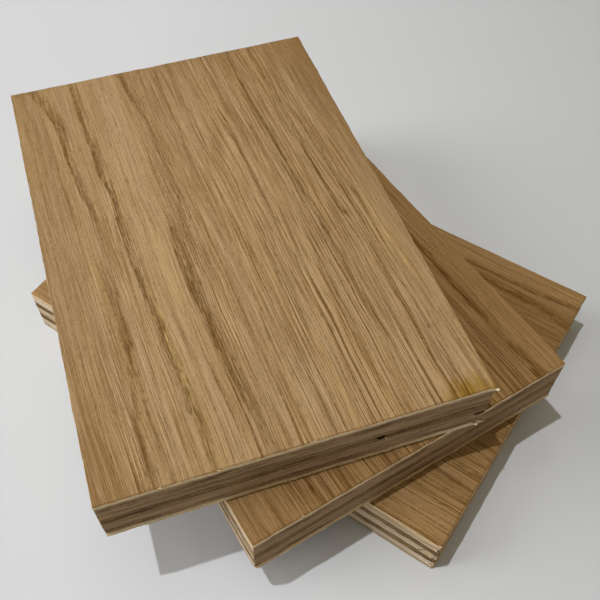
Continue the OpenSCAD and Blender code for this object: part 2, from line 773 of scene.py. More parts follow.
    def roughen(self) -> None:
        """Gives the sawn edges their wander and torn fibres."""
        fray = self.VENEER_FRAY if self.layer.is_veneer else self.CORE_FRAY
        for group, axis, strength, grain_size in (
            ("ends", "Y", 0.34, 5.0),
            ("ends", "Y", fray, 0.8),
            ("sides", "X", 0.3, 9.0),
            ("sides", "X", 0.24, 1.6),
        ):
            texture = bpy.data.textures.new(f"{self.name}_saw", "CLOUDS")
            texture.noise_scale = grain_size * MM
            texture.noise_depth = 1
            modifier = self.piece.modifiers.new("saw", "DISPLACE")
            modifier.texture = texture
            modifier.texture_coords = "LOCAL"
            modifier.direction = axis
            modifier.vertex_group = group
            modifier.mid_level = 0.5
            modifier.strength = strength * MM
            apply_modifier(self.piece, modifier.name)
            bpy.data.textures.remove(texture)

    def tear(self, corner: TornCorner, share: float) -> None:
        """Breaks a corner off along the fibres, with a rough face.

        Args:
            corner: The broken corner.
            share: How much of the corner's reach this layer lost.
        """
        along, across = corner.along * share, corner.across * share
        reach_x, reach_y = (along, across) if self.layer.is_crossband else (across, along)
        span = math.hypot(reach_x, reach_y)
        height = self.thickness + self.TEAR_OVERRUN
        cutter = block()
        cutter.scale = ((span + self.TEAR_OVERLAP) * MM, self.TEAR_BULK * MM, height * MM)
        settle(cutter)
        with Bench(cutter) as bench:
            bench.edges(lambda a, b: abs(a.x - b.x) > MM / 2)
            bpy.ops.mesh.subdivide(number_cuts=max(8, round(span / self.TEAR_PITCH)))
            bench.edges(lambda a, b: abs(a.z - b.z) > MM / 2)
            bpy.ops.mesh.subdivide(number_cuts=max(3, round(height / self.TEAR_ROW)))
            bench.points(lambda p: p.y > self.TEAR_BULK / 2 * MM - MM / 10)
            stray = self.TEAR_ROUGHNESS * MM
            bpy.ops.transform.vertex_random(offset=stray, uniform=0.2, normal=1.0, seed=self.seed)
        side = corner.side.value
        middle = Vector((side * (self.width / 2 - reach_x / 2), -self.length / 2 + reach_y / 2, 0))
        inward = Vector((-side * reach_y, reach_x, 0)).normalized()
        centre = middle - inward * (self.TEAR_BULK / 2)
        cutter.location = (centre.x * MM, centre.y * MM, self.middle * MM)
        cutter.rotation_euler = (0, 0, math.atan2(inward.y, inward.x) - math.pi / 2)
        settle(cutter)
        cut(self.piece, cutter)

    def hollow(self, void: EndVoid) -> None:
        """Opens a rough hollow in the near end.

        Args:
            void: The hollow.
        """
        cutter = pebble(3, 0.09, self.seed)
        cutter.scale = (void.width / 2 * MM, void.depth * MM, void.height / 2 * MM)
        cutter.location = Vector((self.width / 2 - void.inset, -self.length / 2, self.middle)) * MM
        settle(cutter)
        cut(self.piece, cutter)

    def crack(self, crack: Crack) -> None:
        """Splits the left side open with a wedge-shaped cut.

        Args:
            crack: The split.
        """
        cutter = block()
        with Bench(cutter) as bench:
            bench.edges(lambda a, b: abs(a.z - b.z) > 0.5)
            bpy.ops.mesh.subdivide(number_cuts=4)
            bench.points(lambda p: p.x > 0.4)
            bpy.ops.transform.resize(value=(1, 0.2, 1), center_override=(0.5, 0, 0))
            bpy.ops.mesh.select_all(action="SELECT")
            bpy.ops.transform.vertex_random(offset=0.16, uniform=0.3, seed=self.seed)
        height = self.thickness + self.CRACK_OVERRUN
        cutter.scale = (2 * crack.depth * MM, crack.width * MM, height * MM)
        cutter.rotation_euler = (math.radians(crack.lean), 0, 0)
        cutter.location = Vector((-self.width / 2, crack.distance - self.length / 2, self.middle)) * MM
        settle(cutter)
        cut(self.piece, cutter)

    def nibble(self, count: int) -> None:
        """Chips small bites out of the near arris, where the saw came through.

        Args:
            count: Number of bites.
        """
        rng = random.Random(self.seed)
        outside = self.high if self.layer is Layer.FACE_VENEER else self.low
        for _ in range(count):
            bite = pebble(2, 0.16, rng.randrange(999))
            bite.scale = Vector([rng.uniform(*limits) for limits in self.BITE_SIZES]) * MM
            across = rng.uniform(-self.BITE_REACH, self.BITE_REACH) * self.width
            bite.location = Vector((across, -self.length / 2, outside)) * MM
            settle(bite)
            cut(self.piece, bite)

    def raise_splinter(self, splinter: Splinter) -> None:
        """Adds one tapered sliver to the plate.

        Args:
            splinter: The sliver.
        """
        sliver = block((0, 0.5, 0))
        settle(sliver)
        with Bench(sliver) as bench:
            bench.edges(lambda a, b: abs(a.y - b.y) > 0.5)
            bpy.ops.mesh.subdivide(number_cuts=5)
            for reach, keep in self.SLIVER_TAPER:
                bench.points(lambda p: abs(p.y - reach) < 0.1)
                bpy.ops.transform.resize(value=(keep, 1, keep), center_override=(0, reach, 0))
            bpy.ops.mesh.select_all(action="SELECT")
            bpy.ops.transform.vertex_random(offset=0.07, uniform=0.2, seed=self.seed)
        sliver.scale = (splinter.width * MM, splinter.length * MM, splinter.thickness * MM)
        sliver.rotation_euler = (math.radians(splinter.pitch), 0, math.radians(splinter.yaw))
        root = Vector(splinter.root) + Vector((-self.width / 2, -self.length / 2, self.low))
        sliver.location = root * MM
        settle(sliver)
        pick(self.piece)
        sliver.select_set(True)
        bpy.ops.object.join()


@dataclass(frozen=True)
class Surface:
    """The surface of one layer, while its finish is mixed.

    g: The material's graph.
    sheet: The sheet that the layer is in.
    layer: The layer.
    seed: Makes its patterns its own.
    position: Place from the middle of the sheet's underside.
    normal: Which way the surface faces.
    """

    g: Graph
    sheet: "Sheet"
    layer: Layer
    seed: float
    position: Value
    normal: Value

    @classmethod
    def of_layer(cls, finish: str, sheet: "Sheet", layer: Layer, shift: float) -> "Surface":
        """Starts the material of one layer.

        Args:
            finish: First word of the material's name.
            sheet: The sheet that the layer is in.
            layer: The layer.
            shift: Keeps the layer's patterns apart from those of the sheet's other layers.

        Returns:
            The bare surface.
        """
        g = Graph.of_material(f"{finish}_{sheet.node(layer)}")
        position, normal = sheet.coordinates(g)
        return cls(g, sheet, layer, sheet.figure.seed + shift, position, normal)

    def noise(self, pattern: Pattern, place: Value | None = None) -> Value:
        """Reads a pattern at this place or another, as values round about one half."""
        return self.g.noise(place or self.position, pattern, self.seed)

    def swing(self, pattern: Pattern, place: Value | None = None) -> Value:
        """Reads a pattern as values round about zero."""
        return self.noise(pattern, place) - 0.5

    def facing(self, direction: Sequence[float]) -> Value:
        """How squarely the surface faces a direction of its sheet."""
        return self.g.dot(self.normal, self.sheet.turned(direction))


@dataclass(frozen=True)
class OakMarks:
    """What shows at each place of an oak face.

    band, shine: Dark rings and bright streaks that stand out.
    fine, pale: Thin dark lines and thin bright ones.
    grain, streak, fibre, hair: Broad to very fine streaks along the grain, about zero.
    mottle: Specks of light and shade, about zero.
    hue: Slow change between yellow and plain wood, about zero.
    pores: Open pores.
    """

    band: Value
    shine: Value
    fine: Value
    pale: Value
    grain: Value
    streak: Value
    fibre: Value
    hair: Value
    mottle: Value
    hue: Value
    pores: Value


@dataclass(frozen=True)
class OakFinish:
    """Sanded, unfinished oak: a figured face with rings and pores, and pale sawn edges."""

    light: str = "b89c7e"
    dark: str = "866949"
    golden: str = "fffcd6"
    ring: str = "6b4b20"
    pore: str = "523610"
    gleam: str = "c8a55e"
    pale: str = "cdb084"
    shine: str = "d9bd7c"
    edge: str = "ecd3a8"
    edge_dark: str = "b08d5c"
    back_edge: str = "e0dcd6"
    chip: str = "fbeed6"
    # Painted shade: colour of a thin dark line along the near arris of the face
    arris_shade: str = "6b4c28"
    stain: str = "dfd27a"
    relief: float = 0.1
    gloss: float = 0.06

    # Sets the back veneer's patterns apart from those of the face
    BACK_SHIFT = 40.0

    # Patterns that follow the run of the grain
    DASH = Pattern((3.0, 0.34, 0.0), shift=1, roughness=0.6)
    GRAIN = Pattern((0.3, 0.018, 0.0), shift=2, detail=4.0, roughness=0.95)
    FIBRE = Pattern((2.2, 0.07, 0.0), shift=3, roughness=0.7)
    STREAK = Pattern((0.9, 0.012, 0.0), shift=4, roughness=0.8)
    HAIR = Pattern((5.5, 0.04, 0.0), shift=5, detail=1.0, roughness=0.8)
    HUE = Pattern((0.25, 0.014, 0.0), shift=14)

    # Patterns that lie square to the sheet
    # Ragged edge of the painted shade along the near arris
    ARRIS_SHADE = Pattern((1.6, 0.0, 0.0), shift=6)
    BROAD_BEND = Pattern((0.028, 0.011, 0.0), shift=7, detail=1.0)
    CLOSE_BEND = Pattern((0.12, 0.045, 0.0), shift=8, detail=1.0)
    STAIN = Pattern((0.5, 0.2, 0.0), shift=8, detail=3.0)
    WAVER = Pattern((0.25, 0.09, 0.0), shift=9)
    EDGE_FIBRE = Pattern((2.2, 0.3, 3.0), shift=10, detail=3.0, roughness=0.65)
    EDGE_PATCH = Pattern((0.2, 0.1, 0.4), shift=11)
    FRAY = Pattern((1.1, 0.22, 0.0), shift=12, detail=1.0)
    MOTTLE = Pattern((2.6, 1.4, 0.0), shift=13, detail=1.0)

    def material(self, sheet: "Sheet", layer: Layer) -> bpy.types.Material:
        """Makes the finish of one veneer.

        Args:
            sheet: The sheet that it covers.
            layer: Which of the two veneers it is.

        Returns:
            The material.
        """
        shift = 0.0 if layer is Layer.FACE_VENEER else self.BACK_SHIFT
        surface = Surface.of_layer("oak", sheet, layer, shift)
        g = surface.g
        marks = self._marks(surface)
        up = g.step(abs(surface.facing((0, 0, 1))), 0.8, 0.95)
        colour = g.blend(self._edge(surface), self._face(surface, marks), up)
        x, y, _ = g.parts(surface.position)
        # Painted shade: a thin dark line on the face along its near arris, where the chamfer turns away from
        # the light
        near = y + sheet.length / 2 - 0.4 * surface.noise(self.ARRIS_SHADE)
        colour = g.blend(colour, self.arris_shade, (1 - g.step(near, 0.12, 0.45)) * up * 0.55)
        past = (abs(x) - sheet.width / 2).larger(abs(y) - sheet.length / 2)
        colour = g.blend(colour, self.chip, g.step(past, 0.25, 0.4))
        height = 1 - (marks.pores * 0.7 + (marks.band + marks.fine) * 0.2 - marks.fibre * 0.6)
        return g.finish(colour, 0.66 + 0.16 * marks.pores, height, self.relief, self.gloss)

    def _marks(self, surface: Surface) -> OakMarks:
        """Reads the rings, lines, streaks and pores of a face.

        Args:
            surface: The veneer.

        Returns:
            The strength of each.
        """
        flow = self._flow(surface)
        band = self._rings(surface, pale=False)
        dash = surface.noise(self.DASH, flow)
        return OakMarks(
            band=band,
            shine=self._rings(surface, pale=True),
            fine=self._lines(surface, flow, 1.7, 20) + self._lines(surface, flow, 2.9, 30),
            pale=self._lines(surface, flow, 2.3, 35),
            grain=surface.swing(self.GRAIN, flow),
            streak=surface.swing(self.STREAK, flow),
            fibre=surface.swing(self.FIBRE, flow),
            hair=surface.swing(self.HAIR, flow),
            mottle=surface.swing(self.MOTTLE),
            hue=surface.swing(self.HUE, flow),
            pores=surface.g.step(dash, 0.62 - 0.14 * band, 0.72 - 0.12 * band),
        )

    def _face(self, surface: Surface, marks: OakMarks) -> Value:
        """Mixes the colour of a face, from its ground up to its stain.

        Args:
            surface: The veneer.
            marks: What shows on it.

        Returns:
            The colour.
        """
        g, sheet, figure = surface.g, surface.sheet, surface.sheet.figure
        x, y, _ = g.parts(surface.position)
        across, along = x / sheet.width + 0.5, 0.5 - y / sheet.length
        ground = g.curve(across, [(v / sheet.width, tone) for v, tone in figure.tones])
        clarity = g.curve(across, [(v / sheet.width, share) for v, share in figure.clarity])
        far = (1 - along) * (1 - along) * figure.far + (0.5 - along) * (across - 0.5) * figure.twist
        hair = marks.hair * (0.3 + 1.3 * along)
        lines = marks.fine * clarity * (0.25 + 0.95 * along)
        streaks = 1.6 * marks.grain + 1.0 * marks.streak + 1.5 * marks.fibre + 3.2 * hair
        shade = ground + far + (0.28 + 0.72 * clarity) * streaks + 0.6 * marks.mottle
        gleam = marks.band * g.step(0.02 - marks.fibre, 0.06, 0.16) * 0.4
        depth = 0.76 + 1.8 * marks.grain + 2.2 * marks.fibre + 1.0 * marks.streak
        glint = marks.shine * (0.6 - 2.4 * marks.fibre + 1.6 * marks.mottle)
        worn = lines * (0.85 + 2.0 * marks.mottle + 1.6 * marks.fibre)
        face = g.blend(self.light, self.dark, shade.clamped())
        face = g.blend(face, self.golden, (0.5 + 1.1 * marks.hue).clamped(), "MULTIPLY")
        face = g.blend(face, self.gleam, gleam.clamped())
        face = g.blend(face, self.ring, (marks.band * depth).clamped() * 0.8)
        face = g.blend(face, self.pale, (marks.pale * clarity * (0.6 - 1.6 * marks.fibre)).clamped() * 0.5)
        face = g.blend(face, self.shine, glint.clamped() * 0.8)
        face = g.blend(face, self.ring, worn.clamped() * 0.9)
        face = g.blend(face, self.pore, marks.pores * (0.22 + 0.34 * marks.band))
        face = g.blend(face, figure.tint, 1.0, "MULTIPLY")
        if figure.stain and surface.layer is Layer.FACE_VENEER:
            face = self._stained(surface, face, figure.stain)
        return face

    def _lines(self, surface: Surface, flow: Value, pitch: float, shift: float) -> Value:
        """Thin growth lines at uneven distances, each fading in and out along the sheet.

        Args:
            surface: The veneer.
            flow: Place along and across the grain.
            pitch: Usual distance of the lines.
            shift: Makes this set of lines its own.

        Returns:
            Strength of the lines.
        """
        g = surface.g
        across, y, _ = g.parts(flow)
        spacing = Pattern((0.5 / pitch, 0.004, 0.0), shift, detail=0.0)
        count = across / pitch + surface.swing(spacing, flow) * 2.6
        number = count.math("FLOOR", count)
        beyond = (count - number) * pitch
        fading = Pattern((1.0, 0.013, 0.0), shift + 1, detail=1.0)
        own = surface.noise(fading, g.vector(number * 3.7, y, 0.0))
        profile = g.step(beyond, 0.0, 0.1) * (1 - g.step(beyond, 0.14, 0.46))
        return profile * g.step(own, 0.38, 0.62)

    def _flow(self, surface: Surface) -> Value:
        """Bends the sheet's coordinates to the run of its grain.

        Args:
            surface: The veneer.

        Returns:
            The bent position.
        """
        g, sheet, figure = surface.g, surface.sheet, surface.sheet.figure
        x, y, z = g.parts(surface.position)
        run = (sheet.length / 2 - y) * figure.drift
        broad = surface.swing(self.BROAD_BEND) * (2 * figure.wander)
        close = surface.swing(self.CLOSE_BEND) * 1.2
        return g.vector(x - run + (broad + close), y, z)

    def _rings(self, surface: Surface, pale: bool) -> Value:
        """Adds up the growth rings that stand out, each sharp on its left and fading to its right.

        Args:
            surface: The veneer.
            pale: Whether the bright streaks are wanted, and not the dark rings.

        Returns:
            Strength of the rings.
        """
        g, sheet = surface.g, surface.sheet
        x, y, _ = g.parts(surface.position)
        along = (sheet.length / 2 - y) / sheet.length
        across = x + sheet.width / 2 + surface.swing(self.WAVER) * 2.4 + surface.swing(self.FRAY) * 0.7
        total = along * 0.0
        for ring in (r for r in sheet.figure.rings if r.pale is pale):
            places = [(u / sheet.length, v / sheet.width) for u, v, _ in ring.trace]
            depths = [(u / sheet.length, depth) for u, _, depth in ring.trace]
            beyond = across - g.curve(along, places) * sheet.width
            sharp = g.step(beyond, -0.6, 0.3)
            fade = 1 - g.step(beyond, 0.1, ring.tail)
            total = total + sharp * fade * g.curve(along, depths)
        return total.clamped()

    def _stained(self, surface: Surface, face: Value, stain: Stain) -> Value:
        """Lays a yellow mark with a ragged edge over the face.

        Args:
            surface: The veneer.
            face: The colour of the face so far.
            stain: The mark.

        Returns:
            The marked colour.
        """
        g = surface.g
        x, y, _ = g.parts(surface.position)
        sideways, lengthways = x - stain.x, (y - stain.y) * 1.2
        square = sideways * sideways + lengthways * lengthways
        distance = square.math("SQRT", square) + surface.noise(self.STAIN) * (1.2 * stain.radius)
        share = 1 - g.step(distance, 0.6 * stain.radius, 1.6 * stain.radius)
        return g.blend(face, self.stain, share, "MULTIPLY")

    def _edge(self, surface: Surface) -> Value:
        """Pale sawn edge of the veneer, with fine dark fibres.

        Args:
            surface: The veneer.

        Returns:
            The colour, greyer on the back veneer and tinted on its near end.
        """
        g = surface.g
        fibres = surface.noise(self.EDGE_FIBRE) * 0.7 + surface.noise(self.EDGE_PATCH) * 0.3
        edge = g.blend(self.edge, self.edge_dark, g.step(fibres, 0.45, 0.7) * 0.7)
        if surface.layer is Layer.FACE_VENEER:
            return edge
        near_end = g.step(surface.facing((0, -1, 0)), 0.5, 0.8)
        tint = g.blend(self.back_edge, surface.sheet.figure.tint, near_end)
        return g.blend(edge, tint, 1.0, "MULTIPLY")


@dataclass(frozen=True)
class PlyFinish:
    """Bare sawn core veneer: pale along its fibres, dark and porous on its end grain.

    name: First word of its materials' names.
    side, side_dark: Colours along the fibres.
    end, end_dark: Colours of the end grain.
    fade: How much paler the end grain is beside the glue lines.
    glue: Colour of the glue lines.
    hollow: Colour of the painted shade inside an open void.
    roughness, relief, gloss: How the surface takes the light.
    """

    name: str
    side: str
    side_dark: str
    end: str
    end_dark: str
    fade: float = 0.35
    glue: str = "4a3520"
    # Painted shade inside open voids
    hollow: str = "1c120a"
    roughness: float = 0.8
    relief: float = 0.12
    gloss: float = 0.05

    # Sets the core layers' patterns apart from one another and from those of the veneers
    LAYER_SHIFT = 3.0
    CORE_SHIFT = 60.0

    # Blotches for each millimetre, for fibres along the sheet and across it
    FIBRES = {Grain.ALONG: (1.6, 0.04, 2.6), Grain.ACROSS: (0.04, 1.6, 2.6)}
    BROAD_SHARE = 0.2

    # Patterns of the end grain
    RINGS = Pattern((0.12, 0.12, 1.5), shift=2, detail=3.0, roughness=0.65)
    PORES = Pattern((2.4, 2.4, 3.0), shift=3, roughness=0.7)
    PATCH = Pattern((0.06, 0.06, 0.2), shift=4, detail=1.0)

    def material(self, sheet: "Sheet", layer: Layer) -> bpy.types.Material:
        """Makes the finish of one layer of the core.

        Args:
            sheet: The sheet that it is in.
            layer: The layer.

        Returns:
            The material.
        """
        shift = self.LAYER_SHIFT * list(Layer).index(layer) + self.CORE_SHIFT
        surface = Surface.of_layer(self.name, sheet, layer, shift)
        g = surface.g
        fibres = self.FIBRES[layer.grain]
        streak = surface.noise(Pattern(fibres, shift=0, detail=3.0, roughness=0.7))
        broad = surface.noise(Pattern(tuple(self.BROAD_SHARE * s for s in fibres), shift=1))
        side = g.blend(self.side, self.side_dark, g.step(streak * 0.75 + broad * 0.25, 0.42, 0.62))
        pores = surface.noise(self.PORES)
        porous = surface.noise(self.RINGS) * 0.5 + pores * 0.3 + surface.noise(self.PATCH) * 0.2
        end = g.blend(self.end, self.end_dark, g.step(porous, 0.42, 0.6))
        endwise = g.step(abs(surface.facing(layer.grain.value)), 0.5, 0.8)
        colour = g.blend(side, end, endwise)
        low, high = sheet.heights(layer)
        _, _, z = g.parts(surface.position)
        from_glue = ((high - low) / 2) - abs(z - (low + high) / 2)
        colour = g.blend(colour, self.side, (1 - g.step(from_glue, 0.12, 0.45)) * endwise * self.fade)
        colour = g.blend(colour, self.glue, (1 - g.step(from_glue, 0.02, 0.24)) * 0.38)
        # Painted shade inside each open void of this layer
        for void in sheet.damage(layer, sheet.voids):
            colour = self._paint_hollow_shade(surface, colour, void)
        return g.finish(colour, self.roughness, streak * 0.6 + pores * 0.4, self.relief, self.gloss)

    def _paint_hollow_shade(self, surface: Surface, colour: Value, void: EndVoid) -> Value:
        """Paints shade inside a hollow, where little light reaches.

        Args:
            surface: The layer.
            colour: Its colour so far.
            void: The hollow.

        Returns:
            The colour, with the painted shade.
        """
        g, sheet = surface.g, surface.sheet
        low, high = sheet.heights(void.layer)
        centre = (sheet.width / 2 - void.inset, -sheet.length / 2, (low + high) / 2)
        size = (1 / (0.62 * void.width), 1 / (1.2 * void.depth), 1 / (0.62 * void.height))
        away = g.add("ShaderNodeVectorMath", {"operation": "SUBTRACT"}, {0: surface.position, 1: centre})
        scaled = g.add("ShaderNodeVectorMath", {"operation": "MULTIPLY"}, {0: away, 1: size})
        distance = g.add("ShaderNodeVectorMath", {"operation": "LENGTH"}, {0: scaled}, "Value")
        _, inward, _ = g.parts(away)
        inside = (1 - g.step(distance, 0.75, 1.0)) * g.step(inward, 0.0, 0.1)
        return g.blend(colour, self.hollow, inside)


OAK = OakFinish()
OUTER_PLY = PlyFinish("outer_ply", side="f6e6cc", side_dark="b4946a", end="ac8d67", end_dark="6c5237")
CENTRE_PLY = PlyFinish("centre_ply", side="e6d3b4", side_dark="a3865e", end="967850", end_dark="594228")
CROSSBAND = PlyFinish(
    "crossband", side="b89972", side_dark="7b6040", end="a88b64", end_dark="624a2d", fade=0.5
)


FINISHES: dict[Layer, OakFinish | PlyFinish] = {
    Layer.BACK_VENEER: OAK,
    Layer.LOWER_PLY: OUTER_PLY,
    Layer.LOWER_CROSSBAND: CROSSBAND,
    Layer.CENTRE_PLY: CENTRE_PLY,
    Layer.UPPER_CROSSBAND: CROSSBAND,
    Layer.UPPER_PLY: OUTER_PLY,
    Layer.FACE_VENEER: OAK,
}


Damage = TypeVar("Damage", EndVoid, Crack, Splinter)


@dataclass
class Sheet:
    """One sheet of the stack, with its place, its figure and its damage.

    name: First word of the names of its nodes.
    turn: Turn from the bottom sheet, in degrees.
    figure: The figure of its face.
    nibbles: Number of small bites in the near arris of each veneer.
    voids, tears, cracks, splinters: Its damage.
    width, length: Its size.
    centre: Place of its middle in the stack, in metres.
    base: Height of its underside, in metres.
    """

    name: str
    turn: float
    figure: Figure
    nibbles: int
    voids: tuple[EndVoid, ...] = ()
    tears: tuple[TornCorner, ...] = ()
    cracks: tuple[Crack, ...] = ()
    splinters: tuple[Splinter, ...] = ()
    width: float = field(init=False)
    length: float = field(init=False)
    centre: Vector = field(init=False)
    base: float = field(init=False)

    # All sheets are equal, and this node lies square to the axes, so its box gives their size
    SQUARE_NODE = "bottom_centre_ply"
    SMOOTH_ANGLE = 32
    SEED_STEP = 100

    def __post_init__(self) -> None:
        """Reads the sheet's size and place from the frame."""
        low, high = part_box(self.SQUARE_NODE)
        self.width = (high.x - low.x) / MM
        self.length = (high.y - low.y) / MM
        low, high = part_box(self.node(Layer.CENTRE_PLY))
        self.centre = Vector(((low.x + high.x) / 2, (low.y + high.y) / 2, 0))
        self.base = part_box(self.node(Layer.BACK_VENEER))[0].z

    def node(self, layer: Layer) -> str:
        """Name of a layer's node."""
        return f"{self.name}_{layer.value}"

    def heights(self, layer: Layer) -> tuple[float, float]:
        """Lower and upper height of a layer above the sheet's underside."""
        low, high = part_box(self.node(layer))
        return (low.z - self.base) / MM, (high.z - self.base) / MM

    def turned(self, direction: Sequence[float]) -> tuple[float, float, float]:
        """A direction of the sheet, in the frame of the stack."""
        return tuple(Matrix.Rotation(math.radians(self.turn), 3, "Z") @ Vector(direction))

    @staticmethod
    def damage(layer: Layer, kind: Sequence[Damage]) -> list[Damage]:
        """Picks out the damage of one kind that is in one layer."""
        return [item for item in kind if item.layer is layer]

    def coordinates(self, g: Graph) -> tuple[Value, Value]:
        """Reads where a point of the surface lies in the sheet, and which way it faces.

        Args:
            g: The graph of the material that reads them.

        Returns:
            The place from the middle of the sheet's underside, in millimetres, and the normal.
        """
        place = g.add("ShaderNodeTexCoord", output="Object")
        normal = Value(g, place.socket.node.outputs["Normal"])
        sockets = {
            "Vector": place,
            "Location": (self.centre.x, self.centre.y, self.base),
            "Rotation": (0, 0, math.radians(self.turn)),
        }
        local = g.add("ShaderNodeMapping", {"vector_type": "TEXTURE"}, sockets)
        sockets = {0: local, "Scale": 1 / MM}
        return g.add("ShaderNodeVectorMath", {"operation": "SCALE"}, sockets), normal

    def build(self) -> list[bpy.types.Object]:
        """Models, breaks and dresses every layer.

        Returns:
            The finished pieces, from the underside up.
        """
        return [self._layer(layer) for layer in Layer]

    def _layer(self, layer: Layer) -> bpy.types.Object:
        """Makes the piece that stands for one node.

        Args:
            layer: The layer of that node.

        Returns:
            The finished piece.
        """
        low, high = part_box(self.node(layer))
        seed = self.SEED_STEP * round(self.figure.seed) + list(Layer).index(layer)
        name = f"{self.node(layer)}_sawn"
        plate = Plate(name, self.width, self.length, low.z / MM, high.z / MM, layer, seed)
        plate.build()
        plate.roughen()
        for corner in self.tears:
            for broken, share in corner.layers:
                if broken is layer:
                    plate.tear(corner, share)
        for void in self.damage(layer, self.voids):
            plate.hollow(void)
        for crack in self.damage(layer, self.cracks):
            plate.crack(crack)
        if layer.is_veneer:
            plate.nibble(self.nibbles)
        for splinter in self.damage(layer, self.splinters):
            plate.raise_splinter(splinter)
        self._lay(plate.piece)
        self._dress(plate.piece, layer)
        return plate.piece

    def _lay(self, piece: bpy.types.Object) -> None:
        """Turns and moves a layer to its place in the fan, and smooths its shading.

        Args:
            piece: The layer's piece.
        """
        piece.rotation_euler = (0, 0, math.radians(self.turn))
        piece.location = self.centre
        settle(piece)
        bpy.ops.object.shade_smooth_by_angle(angle=math.radians(self.SMOOTH_ANGLE))

    def _dress(self, piece: bpy.types.Object, layer: Layer) -> None:
        """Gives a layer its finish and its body.

        Args:
            piece: The layer's piece.
            layer: The layer.
        """
        piece.data.materials.clear()
        piece.data.materials.append(FINISHES[layer].material(self, layer))
        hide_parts(self.node(layer))
        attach(piece, BODY)


def aimed(azimuth: float, elevation: float) -> Matrix:
    """Turn that points the back of a lamp or camera in a direction.

    Args:
        azimuth: Direction round the stack from its near side, in degrees.
        elevation: Direction above the floor, in degrees.

    Returns:
        The turn.
    """
    turn = Matrix.Rotation(math.radians(azimuth), 4, "Z")
    tilt = Matrix.Rotation(math.radians(90 - elevation), 4, "X")
    return turn @ tilt


@dataclass(frozen=True)
class Lamp:
    """A studio lamp, by the direction that it shines from.

    azimuth, elevation: Direction towards the lamp, in degrees.
    strength: Share of full light that it gives a surface that faces it.
    size: Width of its panel in metres, which softens its shadows.
    distance: Distance from the stack in metres.
    colour: Colour of its light.
    """

    name: str
    azimuth: float
    elevation: float
    strength: float
    size: float
    distance: float = 3.0
    colour: str = "ffffff"

    def build(self) -> None:
        """Hangs the lamp, turned towards the stack."""
        light = bpy.data.lights.new(self.name, "AREA")
        light.color = linear(self.colour)[:3]
        light.shape = "DISK"
        light.size = self.size
        # At a strength of 1 this makes a white surface that faces the lamp look white
        light.energy = self.strength * 4 * math.pi * self.distance ** 2
        lamp = bpy.data.objects.new(self.name, light)
        away = Matrix.Translation((0, 0, self.distance))
        lamp.matrix_world = aimed(self.azimuth, self.elevation) @ away
        bpy.context.scene.collection.objects.link(lamp)


@dataclass(frozen=True)
class Studio:
    """The pale floor, the lamps and the soft light all round.

    floor_size: Width of the floor in metres.
    floor_gap: Distance of the floor below the stack, which keeps the two surfaces apart.
    bright, dim: Floor colours near the window and away from it, a painted fall-off of the window's light.
    dim_from, dim_to: Where the painted fall-off starts and where the floor is dimmest, away from the window.
    away: Direction away from the window.
    sky: Strength of the light all round.
    backdrop: How pale the background looks.
    """

    floor_size: float = 6.0
    floor_gap: float = 0.02
    bright: str = "d6dae1"
    dim: str = "bdc0c6"
    dim_from: float = -70.0
    dim_to: float = 160.0
    away: tuple[float, float, float] = (0.568, -0.823, 0.0)
    sky: float = 0.01
    backdrop: float = 0.6

    LAMPS = (
        Lamp("key", -128.9, 75.5, 0.335, 0.04, distance=2.3),
        Lamp("second_key", -134, 60, 0.025, 0.2),
        Lamp("window", -142, 35, 0.384, 1.7, colour="fbf8f6"),
        Lamp("ceiling", -140, 86, 0.225, 3.0, colour="fff7da"),
        Lamp("room", 56, 34, 0.072, 2.2, colour="ffdcaa"),
        Lamp("front", -50, 9, 0.06, 2.2, colour="fff8f2"),
    )

    def build(self) -> None:
        """Lays the floor and hangs the lamps."""
        deselect()
        place = (0, 0, -self.floor_gap * MM)
        bpy.ops.mesh.primitive_plane_add(size=self.floor_size, location=place)
        floor = bpy.context.active_object
        floor.name = "floor"
        settle(floor)
        g = Graph.of_material("floor_painted_light")
        spot = g.add("ShaderNodeTexCoord", output="Object")
        # Painted light: the floor's colour dims away from the window, as the window's light would fall off
        limits = {0: g.dot(spot, self.away), 1: self.dim_from * MM, 2: self.dim_to * MM}
        share = g.add("ShaderNodeMapRange", {"clamp": True}, limits)
        colour = g.blend(self.bright, self.dim, share)
        matt = {"Base Color": colour, "Roughness": 1.0, "Specular IOR Level": 0.0}
        g.add_output(g.add("ShaderNodeBsdfPrincipled", sockets=matt))
        floor.data.materials.append(g.owner)
        for lamp in self.LAMPS:
            lamp.build()
        self._hang_backdrop()

    def _hang_backdrop(self) -> None:
        """Gives the world its faint light, and the pale look that it has to the eye."""
        world = bpy.data.worlds.new("studio")
        g = Graph(world)
        camera = g.add("ShaderNodeLightPath", output="Is Camera Ray")
        glossy, clear = (
            Value(g, camera.socket.node.outputs[kind]) for kind in ("Is Glossy Ray", "Is Transmission Ray")
        )
        rays = camera.larger(glossy).larger(clear)
        white = {"Color": (1, 1, 1, 1)}
        light = g.add("ShaderNodeBackground", sockets=white | {"Strength": self.sky})
        look = g.add("ShaderNodeBackground", sockets=white | {"Strength": self.backdrop})
        g.add_output(g.add("ShaderNodeMixShader", sockets={0: rays, 1: light, 2: look}))
        bpy.context.scene.world = world


